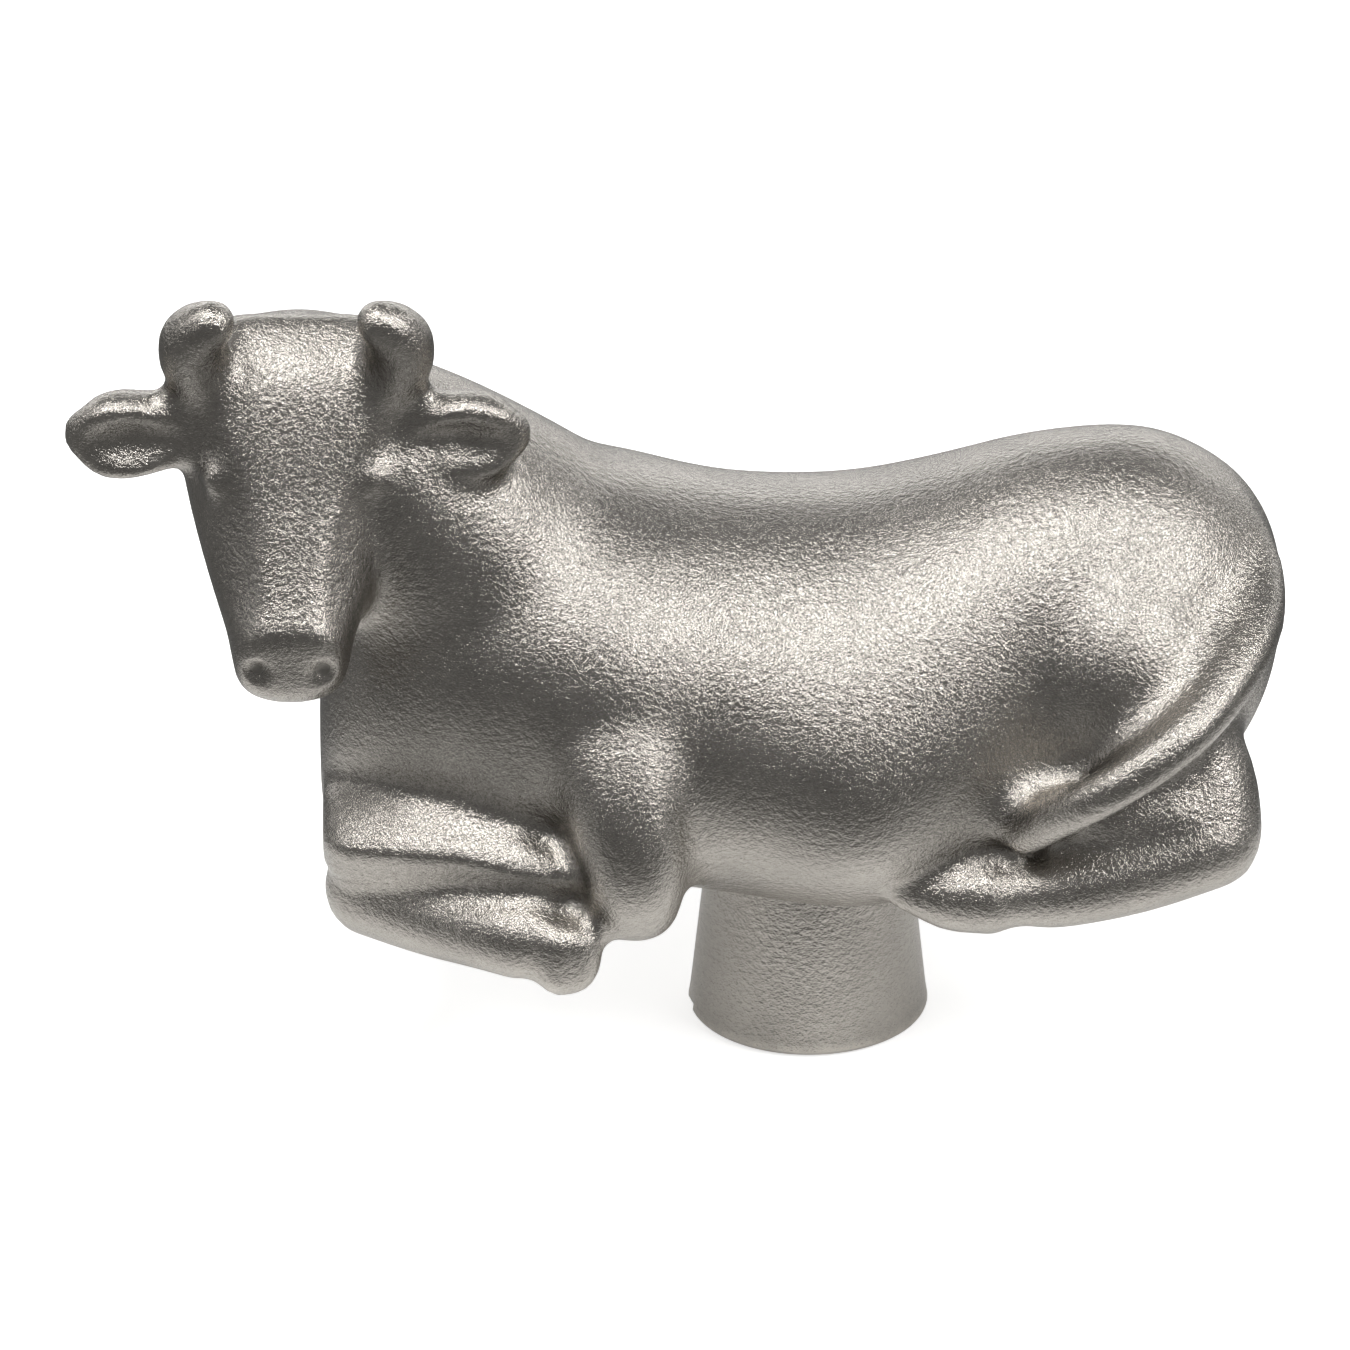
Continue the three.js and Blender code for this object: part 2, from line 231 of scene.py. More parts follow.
# The turned pieces, in millimetres. Their outside sizes come from the frame.
WELD = 1e-7
STEM_STEPS = 72
SCREW_STEPS = 60
WASHER_STEPS = 96
RIM_END = 354
MOUTH_ROUND = 0.25
TAPER_STEPS = 12
SHOULDER_ROUND = 0.15
SPIGOT_RADIUS = 4.5
SPIGOT_CHAMFER = 0.4
SOFT_CORNER = 0.2
CORNER_LAND = 0.1
NICK_PLACE = (-1.0, 0.3)
NICK_REACH = 0.8
NICK_DEPTH = (0.22, 0.03, 0.1)
SOCKET_BOTTOM = 2.0
SOCKET_FIT = 0.06
SPIGOT_CLEARANCE = 0.3
DRILL_RADIUS = 3.0
DRILL_CLEARANCE = 0.6
DRILL_POINT = 1.6
THREAD_RING = 0.08
THREAD_CLEARANCE = 0.06
THREAD_ROOT_FLAT = 0.08
THREAD_FLANK = 0.8
SIDE_TOLERANCE = 0.02
HEAD_ROUND = 0.5
HEAD_TOP_ROUND = 0.12
NECK_ROUND = 0.1
SCREW_POINT = 0.6
TIP_CHAMFER = 0.1
SLOT_ROUND = 0.15
WASHER_HOLE_RADIUS = 2.65
PLAIN_WASHER_EDGE = 0.14
SPRING_WASHER_EDGE = 0.1
SPLIT_WIDTH = 0.6
SPLIT_HEIGHT = 8
SPLIT_START = 1
SPLIT_EDGE = 0.04
SPLIT_SLANT = 25

# Metals. Shares of a metal's own colour where it is uneven, rubbed and dulled; how far an edge stands out
# where it is fully worn, in millimetres; and the changes of roughness. Noise scales are per metre.
NICKEL_SHARES = (0.86, 1.25, 0.72)
NICKEL_SHARPNESS = 0.05
NICKEL_UNEVENNESS = 0.12
NICKEL_POLISH = -0.05
NICKEL_DULLING = 0.08
STEEL_SHARES = (0.8, 1.2, 0.45)
STEEL_SHARPNESS = 0.03
STEEL_UNEVENNESS = 0.16
STEEL_POLISH = -0.06
CLOUD_SCALE = 300.0
PATCH_SCALE = 900.0
STAIN_SCALE = 500.0
FIBRE_SCALE = 400.0
SMOOTH_ANGLE = 35

# Studio. The paper is white to the camera. In the metal it shows a painted glow within a stretched reach,
# though it is no lamp, and painted shade beyond.
# Soft boxes: azimuth, elevation, size in metres and radiance. Room: the grey at the sine of a height.
CAMERA_AIM = (-7.26, 0, 19.97)
CAMERA_LIFT = 27.5
CAMERA_DISTANCE = 0.81
CAMERA_LENS = 400
LAMP_DISTANCE = 0.6
FLOOR_SIZE = 6
FLOOR_GAP = 0.0001
PAPER_WHITE = 0.7
PAPER_GLOW = 0.25
PAPER_DIM = 0.14
PAPER_LIT_REACH = (0.018, 0.034)
PAPER_LIT_STRETCH = (0.45, 1, 1)
SOFT_BOXES = (
    (-45, 64, (0.18, 0.18), 20.0),
    (55, 42, (0.18, 0.18), 18.0),
    (85, 20, (0.10, 0.25), 2.5),
    (-85, 25, (0.12, 0.30), 2.5),
    (180, 12, (1.3, 0.24), 2.2),
)
ROOM_GREYS = ((0, 0.06), (0.1, 0.1), (0.36, 0.22), (0.6, 0.28), (0.85, 0.32), (1, 0.2))


# ---------------------------------------------------------------- modelling helpers

def deselect():
    if bpy.context.mode != "OBJECT":
        bpy.ops.object.mode_set(mode="OBJECT")
    bpy.ops.object.select_all(action="DESELECT")


def activate(obj):
    deselect()
    obj.select_set(True)
    bpy.context.view_layer.objects.active = obj


def joined(name, objects):
    """One object that holds all the meshes, still overlapping."""
    activate(objects[0])
    for obj in objects[1:]:
        obj.select_set(True)
    bpy.ops.object.join()
    whole = bpy.context.object
    whole.name = name
    whole.data.name = name
    return whole


def apply_modifier(obj, kind, **settings):
    activate(obj)
    bpy.ops.object.modifier_add(type=kind)
    modifier = obj.modifiers[-1]
    for key, value in settings.items():
        setattr(modifier, key, value)
    bpy.ops.object.modifier_apply(modifier=modifier.name)


def remesh(obj, voxel):
    """Overlapping closed shells become one skin."""
    apply_modifier(obj, "REMESH", mode="VOXEL", voxel_size=voxel * MM, adaptivity=0)


def smooth(obj, times, factor=0.5):
    apply_modifier(obj, "SMOOTH", factor=factor, iterations=times)


def fillet(obj, radius, voxel):
    """Every inward corner gets a fillet: the skin is moved out, made one again, and moved back."""
    apply_modifier(obj, "DISPLACE", strength=radius * MM, mid_level=0, direction="NORMAL")
    remesh(obj, voxel)
    smooth(obj, REMESH_SMOOTHING)
    apply_modifier(obj, "DISPLACE", strength=-radius * MM, mid_level=0, direction="NORMAL")
    remesh(obj, voxel)


def loft(name, rings):
    """A closed skin through rings of points in millimetres: a filled circle is extruded from ring to ring."""
    count = len(rings[0])
    deselect()
    bpy.ops.mesh.primitive_circle_add(vertices=count, radius=MM, fill_type="NGON", location=(0, 0, 0))
    obj = bpy.context.object
    obj.name = name
    previous = [Vector(point) * MM for point in rings[0]]
    for vertex, point in zip(obj.data.vertices, previous):
        vertex.co = point
    bpy.ops.object.mode_set(mode="EDIT")
    bpy.ops.mesh.select_all(action="SELECT")
    for ring in rings[1:]:
        bpy.ops.mesh.extrude_region_move()
        mesh = bmesh.from_edit_mesh(obj.data)
        ends = [vertex for vertex in mesh.verts if vertex.select]
        follow = [min(range(count), key=lambda i: (previous[i] - vertex.co).length) for vertex in ends]
        previous = [Vector(point) * MM for point in ring]
        for vertex, i in zip(ends, follow):
            vertex.co = previous[i]
        bmesh.update_edit_mesh(obj.data)
    bpy.ops.mesh.select_all(action="SELECT")
    bpy.ops.mesh.normals_make_consistent(inside=False)
    bpy.ops.object.mode_set(mode="OBJECT")
    return obj


def between(stations, place):
    """The Catmull-Rom value at a place counted in stations, for the whole tuple at once."""
    last = len(stations) - 1
    first = min(int(place), last - 1)
    t = place - first
    p0, p1, p2, p3 = (np.array(stations[min(max(first + k, 0), last)], float) for k in (-1, 0, 1, 2))
    return 0.5 * (2 * p1 + (p2 - p0) * t + (2 * p0 - 5 * p1 + 4 * p2 - p3) * t ** 2
                  + (3 * p1 - p0 - 3 * p2 + p3) * t ** 3)


def oval(centre, along, across_half, up_half, count=RING, square=2.0):
    """Points round a section square to a direction; square is 2 for an ellipse and more for a boxier one."""
    side = Vector((0, 1, 0) if abs(along.z) > 0.75 else (0, 0, 1)).cross(along)
    side.normalize()
    up = along.cross(side).normalized()
    points = []
    for i in range(count):
        angle = 2 * math.pi * i / count
        c, s = math.cos(angle), math.sin(angle)
        a = math.copysign(abs(c) ** (2 / square), c) * across_half
        b = math.copysign(abs(s) ** (2 / square), s) * up_half
        points.append(Vector(centre) + side * a + up * b)
    return points


def limb(name, stations, side=1, square=2.0, steps=4):
    """A limb with rounded ends through stations of (x, y, z, half width, half height)."""
    stations = [(x, y * side, z, a, b) for x, y, z, a, b in stations]
    last = len(stations) - 1
    path = [between(stations, last * i / (steps * last)) for i in range(steps * last + 1)]
    rings = []
    for i, (x, y, z, a, b) in enumerate(path):
        before, after = path[max(i - 1, 0)], path[min(i + 1, len(path) - 1)]
        along = Vector(after[:3] - before[:3]).normalized()
        turns = {0: (-75, -50, -25, 0), len(path) - 1: (0, 25, 50, 75)}.get(i, (0,))
        for turn in turns:
            out, shrink = math.sin(math.radians(turn)), math.cos(math.radians(turn))
            centre = Vector((x, y, z)) + along * out * min(a, b)
            rings.append(oval(centre, along, a * shrink, b * shrink, square=square))
    return loft(name, rings)


def ball(name, centre, half, turn=0.0):
    """A ball squashed to its half sizes, then leaned about Y."""
    deselect()
    bpy.ops.mesh.primitive_uv_sphere_add(
        segments=48, ring_count=24, radius=1,
        location=Vector(centre) * MM, rotation=(0, turn, 0), scale=Vector(half) * MM)
    bpy.ops.object.transform_apply(location=True, rotation=True, scale=True)
    obj = bpy.context.object
    obj.name = name
    return obj


def on_face(across, down, out):
    """A point given across, down and out of the face."""
    return POLL + Vector((across, 0, 0)) + FACE_DOWN * down + FACE_OUT * out


def push(obj, centre, radius, move):
    """Sculpts the skin: points near the centre move, less and less towards the radius. All in millimetres."""
    count = len(obj.data.vertices)
    place = np.empty(count * 3, np.float32)
    obj.data.vertices.foreach_get("co", place)
    place = place.reshape(-1, 3)
    away = np.linalg.norm(place - np.array(centre, np.float32) * MM, axis=1) / (radius * MM)
    share = np.clip(1 - away ** 2, 0, None) ** 2
    place += share[:, None] * np.array(move, np.float32) * MM
    obj.data.vertices.foreach_set("co", place.ravel())
    obj.data.update()


def mark_wear(obj):
    """Stores how far each point stands above the skin around it, in millimetres. Edge wear follows it."""
    activate(obj)
    bpy.ops.object.duplicate()
    softer = bpy.context.object
    smooth(softer, WEAR_REACH)
    count = len(obj.data.vertices)
    place, soft, normal = (np.empty(count * 3, np.float32) for _ in range(3))
    obj.data.vertices.foreach_get("co", place)
    softer.data.vertices.foreach_get("co", soft)
    obj.data.vertices.foreach_get("normal", normal)
    stand = ((place - soft) * normal).reshape(-1, 3).sum(axis=1) / MM
    obj.data.attributes.new("stand", "FLOAT", "POINT").data.foreach_set("value", stand)
    bpy.data.objects.remove(softer)


def cut(obj, tool):
    """Takes the tool's shape out of the object, and the tool away."""
    apply_modifier(obj, "BOOLEAN", operation="DIFFERENCE", object=tool, solver="EXACT")
    bpy.data.objects.remove(tool)


# ---------------------------------------------------------------- the figure

def trunk():
    rings = []
    last = len(TRUNK) - 1
    for i in range(3 * last + 1):
        x, z, a, b, sag = between(TRUNK, i / 3)
        ring = oval((x, 0, z), Vector((1, 0, 0)), a, b, count=48)
        for point in ring:
            point.y *= 1 - sag * (point.z - z) / b
        rings.append(ring)
    return loft("trunk", rings)


def haunch(side):
    """The cow lies on its far hip, so that haunch is tucked in further."""
    centre, half = HAUNCH
    tuck = FAR_HAUNCH_TUCK if side > 0 else 1
    return ball("haunch", (centre[0], centre[1] * side * tuck, centre[2]), half)


def forearm(side):
    """The forearm has two crisp edges with a flat face between them."""
    rings = []
    last = len(FOREARM) - 1
    for i in range(3 * last + 1):
        x, upper_y, upper_z, lower_y, lower_z, under_y, under_z = between(FOREARM, i / 3)
        corners = ((FOREARM_BACK_Y, upper_z), (upper_y, upper_z), (lower_y, lower_z), (under_y, under_z),
                   (FOREARM_BACK_Y, under_z))
        outline = []
        for (y0, z0), (y1, z1) in zip(corners, corners[1:] + corners[:1]):
            outline += [(y0 + (y1 - y0) * k / 4, z0 + (z1 - z0) * k / 4) for k in range(4)]
        rings.append([Vector((x, y * side, z)) for y, z in outline])
    return loft("forearm", rings)


def thick_limbs(side):
    return [
        limb("upper_arm", UPPER_ARM, side, square=2.6),
        limb("shank", SHANK, side),
        limb("hock", HOCK, side),
    ]


def fine_limbs(side):
    return [
        forearm(side),
        limb("fore_shin", FORE_SHIN, side),
        limb("fore_hoof", FORE_HOOF, side, square=3.0),
        limb("hind_shin", HIND_SHIN, side),
        limb("hind_hoof", HIND_HOOF, side),
    ]


def body():
    bulk = joined("bulk", [trunk(), limb("neck", NECK), haunch(1), haunch(-1)])
    remesh(bulk, COARSE)
    smooth(bulk, REMESH_SMOOTHING)
    fillet(bulk, BULK_FILLET, COARSE)
    smooth(bulk, BULK_SMOOTHING)
    whole = joined("body", [bulk, limb("tail", TAIL)] + thick_limbs(1) + thick_limbs(-1))
    remesh(whole, COARSE)
    smooth(whole, REMESH_SMOOTHING)
    fillet(whole, LIMB_FILLET, COARSE)
    return whole


def skull():
    """Half of a section runs from the flat front over its soft edge and the cheek to the underside."""
    rings = []
    last = len(SKULL) - 1
    for i in range(4 * last + 1):
        down, out, front, cheek, under, depth = between(SKULL, i / 4)
        half = (
            (0, -0.1), (front * 0.5, -0.1), (front * 0.88, -0.15), (front + 0.25, -0.65),
            (cheek * 0.55 + front * 0.45, -0.2 * depth), (cheek * 0.95, -0.36 * depth),
            (cheek, -0.48 * depth), (cheek * 0.96, -0.62 * depth), (under, -0.94 * depth), (0, -depth),
        )
        outline = [(a, n) for a, n in half] + [(-a, n) for a, n in half[-2:0:-1]]
        rings.append([on_face(a, down, out + n) for a, n in outline])
    return loft("skull", rings)


def face_ball(name, place, half):
    """A ball set into the face: its half sizes are across, down and out of the face."""
    across, down, out = place
    wide, tall, deep = half
    obj = ball(name, (0, 0, 0), (wide, deep, tall))
    obj.data.transform(Matrix.Rotation(-FACE_SLOPE, 4, "X"))
    obj.data.transform(Matrix.Translation(on_face(across, down, out) * MM))
    return obj


def beside(stations, side):
    """Stations given away from the head's middle plane, on one side of it."""
    return [(POLL.x + side * x, y, z, a, b) for x, y, z, a, b in stations]


def head():
    (away, down, out), eye_half = EYE
    (crown_x, crown_y, crown_z), crown_half = CROWN
    crown = ball("crown", (POLL.x + crown_x, crown_y, crown_z), crown_half)
    parts = [skull(), face_ball("chin", *CHIN), crown]
    for side in (-1, 1):
        parts.append(limb("horn", beside(HORN, side)))
        ear = limb("ear", beside(EAR, side))
        cut(ear, limb("cup", beside(EAR_CUP, side)))
        parts.append(ear)
        parts.append(face_ball("eye", (side * away, down, out), eye_half))
    whole = joined("head", parts)
    remesh(whole, FINE)
    smooth(whole, FINE_SMOOTHING)
    fillet(whole, HEAD_FILLET, FINE)
    return whole


def figure_casting():
    figure = joined("figure", [body(), head()] + fine_limbs(1) + fine_limbs(-1))
    remesh(figure, FINE)
    smooth(figure, FINE_SMOOTHING)
    fillet(figure, SKIN_FILLET, FINE)
    smooth(figure, SKIN_SMOOTHING)
    away, down, out = NOSTRIL
    for side in (-1, 1):
        push(figure, on_face(side * away, down, out), NOSTRIL_REACH, NOSTRIL_PUSH)
    return figure


# ---------------------------------------------------------------- stem, screw and washers

def spin(name, profile, steps, closed=True):
    """A turned shape: a profile of (radius, height) in millimetres is spun about Z."""
    deselect()
    bpy.ops.mesh.primitive_circle_add(
        vertices=len(profile), radius=MM, fill_type="NOTHING", location=(0, 0, 0))
    obj = bpy.context.object
    obj.name = name
    for vertex, (radius, height) in zip(obj.data.vertices, profile):
        vertex.co = Vector((radius, 0, height)) * MM
    bpy.ops.object.mode_set(mode="EDIT")
    bpy.ops.mesh.select_mode(type="EDGE")
    if not closed:
        mesh = bmesh.from_edit_mesh(obj.data)
        mesh.verts.ensure_lookup_table()
        bpy.ops.mesh.select_all(action="DESELECT")
        mesh.edges.get((mesh.verts[0], mesh.verts[len(profile) - 1])).select_set(True)
        bpy.ops.mesh.delete(type="EDGE_FACE")
    bpy.ops.mesh.select_mode(type="VERT")
    bpy.ops.mesh.select_all(action="SELECT")
    bpy.ops.mesh.spin(steps=steps, angle=2 * math.pi, center=(0, 0, 0), axis=(0, 0, 1))
    bpy.ops.mesh.select_all(action="SELECT")
    bpy.ops.mesh.remove_doubles(threshold=WELD)
    bpy.ops.mesh.normals_make_consistent(inside=False)
    bpy.ops.object.mode_set(mode="OBJECT")
    return obj


def arc(centre, radius, start, end, steps=5):
    """Profile points round an arc, from one angle to another in degrees."""
    angles = (math.radians(start + (end - start) * i / steps) for i in range(steps + 1))
    return [(centre[0] + radius * math.cos(a), centre[1] + radius * math.sin(a)) for a in angles]


def rings_between(radius, low, high, step):
    """Profile points up a straight side, close enough together to carry a thread."""
    count = round(abs(high - low) / step)
    return [(radius, low + (high - low) * i / count) for i in range(count + 1)]


def thread(obj, pitch, root, crest, low, high, run_out):
    """Winds a right-hand thread into a side of closely spaced rings, all in millimetres. At both ends it runs
    out to run_out, which is the root of an outside thread and the crest of an inside one."""
    for vertex in obj.data.vertices:
        radius, height = math.hypot(vertex.co.x, vertex.co.y) / MM, vertex.co.z / MM
        on_side = root - SIDE_TOLERANCE < radius < crest + SIDE_TOLERANCE
        if not (on_side and low - SIDE_TOLERANCE < height < high + SIDE_TOLERANCE):
            continue
        turn = (height / pitch - math.atan2(vertex.co.y, vertex.co.x) / (2 * math.pi)) % 1
        flank = min(max((1 - abs(2 * turn - 1) - THREAD_ROOT_FLAT) / THREAD_FLANK, 0), 1)
        ends = max(min((height - low) / pitch, (high - height) / pitch, 1), 0)
        wanted = run_out + (root + (crest - root) * flank - run_out) * ends
        vertex.co.x *= wanted / radius
        vertex.co.y *= wanted / radius


def node_box(node):
    """Lowest and highest corner of a node, in millimetres."""
    low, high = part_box(node)
    return [value / MM for value in low], [value / MM for value in high]


def stem_radius(sizes, height):
    share = height / (sizes.shoulder_height / MM)
    return (sizes.foot_radius + (sizes.shoulder_radius - sizes.foot_radius) * share) / MM


def stem(sizes):
    """The tapered foot with its counterbore, its spigot and the tapped hole up the middle."""
    foot, shoulder = sizes.foot_radius / MM, sizes.shoulder_radius / MM
    seat, edge = sizes.shoulder_height / MM, sizes.edge_radius / MM
    bore, floor = sizes.counterbore_radius / MM, sizes.counterbore_depth / MM
    crest = sizes.thread_radius / MM + THREAD_CLEARANCE
    spigot = node_box("stem")[1][2]
    profile = arc((bore + MOUTH_ROUND, MOUTH_ROUND), MOUTH_ROUND, 180, 270)
    profile += arc((foot - edge, edge), edge, 270, RIM_END, steps=8)
    taper = (seat * i / TAPER_STEPS for i in range(1, TAPER_STEPS))
    profile += [(stem_radius(sizes, height), height) for height in taper]
    profile += arc((shoulder - SHOULDER_ROUND, seat - SHOULDER_ROUND), SHOULDER_ROUND, 0, 90)
    profile += [(SPIGOT_RADIUS + SOFT_CORNER, seat), (SPIGOT_RADIUS, seat + SOFT_CORNER)]
    profile += [(SPIGOT_RADIUS, spigot - SPIGOT_CHAMFER), (SPIGOT_RADIUS - SPIGOT_CHAMFER, spigot)]
    profile += rings_between(crest, spigot, floor, THREAD_RING)
    profile += [(bore - SOFT_CORNER - CORNER_LAND, floor)]
    profile += arc((bore - SOFT_CORNER, floor - SOFT_CORNER), SOFT_CORNER, 90, 0)
    body = spin("stem_body", profile, STEM_STEPS)
    depth = sizes.thread_depth / MM
    thread(body, sizes.pitch / MM, crest - depth, crest, floor, spigot, crest)
    push(body, (-foot, *NICK_PLACE), NICK_REACH, NICK_DEPTH)
    return body


def fixing_screw(sizes):
    """A cheese-head screw: a slotted head with rounded edges, and a thread all the way up the shank."""
    low, high = node_box("fixing_screw")
    head_radius, bottom, tip = high[0], low[2], high[2]
    top = bottom + sizes.head_height / MM
    crest, depth = sizes.thread_radius / MM, sizes.thread_depth / MM
    profile = [(0, bottom)]
    profile += arc((head_radius - HEAD_ROUND, bottom + HEAD_ROUND), HEAD_ROUND, 270, 360, steps=8)
    profile += arc((head_radius - HEAD_TOP_ROUND, top - HEAD_TOP_ROUND), HEAD_TOP_ROUND, 0, 90)
    profile += arc((crest + NECK_ROUND, top + NECK_ROUND), NECK_ROUND, 270, 180, steps=3)
    first, last = top + 2 * NECK_ROUND, tip - SCREW_POINT
    profile += rings_between(crest, first, last, THREAD_RING)
    profile += [(crest - depth, tip - TIP_CHAMFER), (crest - depth - TIP_CHAMFER, tip), (0, tip)]
    screw = spin("screw_blank", profile, SCREW_STEPS, closed=False)
    thread(screw, sizes.pitch / MM, crest - depth, crest, first, last, crest - depth)
    cut(screw, slot_cutter(bottom, sizes.slot_width, sizes.slot_depth, head_radius))
    return screw


def slot_cutter(bottom, width, depth, head_radius):
    """A bar with rounded lower corners for the screwdriver slot."""
    deselect()
    bpy.ops.mesh.primitive_cube_add(size=1, location=(0, 0, bottom * MM))
    bar = bpy.context.object
    bar.scale = (3 * head_radius * MM, width, 2 * depth)
    bpy.ops.object.transform_apply(location=True, rotation=True, scale=True)
    apply_modifier(bar, "BEVEL", width=SLOT_ROUND * MM, segments=3, limit_method="ANGLE")
    return bar


def washer_outline(node, hole, edge):
    """The section of a flat ring with rounded edges, the size of its node."""
    low, high = node_box(node)
    outer = high[1]
    bottom, top = low[2], high[2]
    return (arc((hole + edge, bottom + edge), edge, 180, 270)
            + arc((outer - edge, bottom + edge), edge, 270, 360)
            + arc((outer - edge, top - edge), edge, 0, 90)
            + arc((hole + edge, top - edge), edge, 90, 180))


def plain_washer():
    """A stamped washer with rounded edges."""
    outline = washer_outline("plain_washer", WASHER_HOLE_RADIUS, PLAIN_WASHER_EDGE)
    return spin("plain_ring", outline, WASHER_STEPS)


def spring_washer():
    """A split ring with a slanted cut."""
    outline = washer_outline("spring_washer", WASHER_HOLE_RADIUS, SPRING_WASHER_EDGE)
    ring = spin("spring_ring", outline, WASHER_STEPS)
    low, high = node_box("spring_washer")
    deselect()
    bpy.ops.mesh.primitive_cube_add(size=1, location=(high[1] * MM, 0, (low[2] + high[2]) / 2 * MM))
    wedge = bpy.context.object
    wedge.scale = (2 * (high[1] - SPLIT_START) * MM, SPLIT_WIDTH * MM, SPLIT_HEIGHT * MM)
    wedge.rotation_euler = (math.radians(SPLIT_SLANT), 0, 0)
    bpy.ops.object.transform_apply(location=True, rotation=True, scale=True)
    cut(ring, wedge)
    apply_modifier(ring, "BEVEL", width=SPLIT_EDGE * MM, segments=2, limit_method="ANGLE",
                   angle_limit=math.radians(50))
    return ring


def cut_socket(figure, sizes):
    """The pocket in the belly that the stem and the screw's end go into."""
    seat = sizes.shoulder_height / MM
    spigot = node_box("stem")[1][2]
    tip = node_box("fixing_screw")[1][2]
    fit = SOCKET_FIT
    profile = [(0, SOCKET_BOTTOM), (stem_radius(sizes, SOCKET_BOTTOM) + fit, SOCKET_BOTTOM)]
    profile += [(stem_radius(sizes, seat) + fit, seat + fit), (SPIGOT_RADIUS + fit, seat + fit)]
    profile += [(SPIGOT_RADIUS + fit, spigot + SPIGOT_CLEARANCE), (DRILL_RADIUS, spigot + SPIGOT_CLEARANCE)]
    profile += [(DRILL_RADIUS, tip + DRILL_CLEARANCE), (0, tip + DRILL_CLEARANCE + DRILL_POINT)]
    cut(figure, spin("socket", profile, STEM_STEPS, closed=False))


# ---------------------------------------------------------------- materials

def new_group(name, inputs, outputs):
    group = bpy.data.node_groups.new(name, "ShaderNodeTree")
    for label, value in inputs:
        socket = group.interface.new_socket(label, in_out="INPUT", socket_type="NodeSocketFloat")
        socket.default_value = value
    for label in outputs:
        group.interface.new_socket(label, in_out="OUTPUT", socket_type="NodeSocketFloat")
    return group, group.nodes.new("NodeGroupInput"), group.nodes.new("NodeGroupOutput")


def maths(tree, operation, first, second, third=None):
    """A Math node; each input is a socket or a number."""
    node = tree.nodes.new("ShaderNodeMath")
    node.operation = operation
    for socket, value in zip(node.inputs, (first, second, third)):
        if isinstance(value, bpy.types.NodeSocket):
            tree.links.new(value, socket)
        elif value is not None:
            socket.default_value = value
    return node.outputs[0]


def noise(tree, place, scale, detail=2.0, roughness=0.5):
    node = tree.nodes.new("ShaderNodeTexNoise")
    node.inputs["Detail"].default_value = detail
    node.inputs["Roughness"].default_value = roughness
    tree.links.new(place, node.inputs["Vector"])
    if isinstance(scale, bpy.types.NodeSocket):
        tree.links.new(scale, node.inputs["Scale"])
    else:
        node.inputs["Scale"].default_value = scale
    return node.outputs["Fac"]


def spread(tree, value, low, high, out_low=0.0, out_high=1.0):
    """A Map Range node that holds its ends."""
    node = tree.nodes.new("ShaderNodeMapRange")
    node.interpolation_type = "SMOOTHSTEP"
    tree.links.new(value, node.inputs["Value"])
    for label, number in (("From Min", low), ("From Max", high), ("To Min", out_low), ("To Max", out_high)):
        node.inputs[label].default_value = number
    return node.outputs["Result"]


def object_place(tree):
    return tree.nodes.new("ShaderNodeTexCoord").outputs["Object"]


def blasted_grain():
    """Fine orange-peel grain of a blasted, plated casting: a height for bump, and an uneven roughness."""
    group, given, result = new_group(
        "Blasted Grain",
        [("Grain Size", 0.0002), ("Roughness", 0.2), ("Unevenness", 0.1)],
        ["Height", "Roughness", "Tone"])
    place = object_place(group)
    scale = maths(group, "DIVIDE", 1.0, given.outputs["Grain Size"])
    peel = noise(group, place, scale, 3.0, 0.65)
    pits = noise(group, place, maths(group, "MULTIPLY", scale, 2.7), 2.0, 0.7)
    clouds = noise(group, place, CLOUD_SCALE, 3.0)
    height = maths(group, "MULTIPLY_ADD", pits, 0.45, peel)
    uneven = maths(group, "SUBTRACT", clouds, 0.5)
    rough = maths(group, "MULTIPLY_ADD", uneven, given.outputs["Unevenness"], given.outputs["Roughness"])
    tone = maths(group, "MULTIPLY_ADD", maths(group, "SUBTRACT", peel, 0.5), 1.2, clouds)
    group.links.new(height, result.inputs["Height"])
    group.links.new(rough, result.inputs["Roughness"])
    group.links.new(tone, result.inputs["Tone"])
    return group


def rubbed_edges():
    """Where handling polishes the metal, on the ridges, and where it dulls, in the hollows."""
    group, given, result = new_group("Rubbed Edges", [("Sharpness", 0.03)], ["Ridges", "Hollows"])
    stand = group.nodes.new("ShaderNodeAttribute")
    stand.attribute_name = "stand"
    patchy = spread(group, noise(group, object_place(group), PATCH_SCALE, 3.0), 0.35, 0.6, 0.5, 1.0)
    above = maths(group, "SUBTRACT", stand.outputs["Fac"], WEAR_START)
    below = maths(group, "SUBTRACT", -WEAR_START, stand.outputs["Fac"])
    ridge = maths(group, "DIVIDE", above, given.outputs["Sharpness"])
    hollow = maths(group, "DIVIDE", below, given.outputs["Sharpness"])
    group.links.new(maths(group, "MULTIPLY", spread(group, ridge, 0.0, 1.0), patchy), result.inputs["Ridges"])
    group.links.new(spread(group, hollow, 0.0, 1.0), result.inputs["Hollows"])
    return group


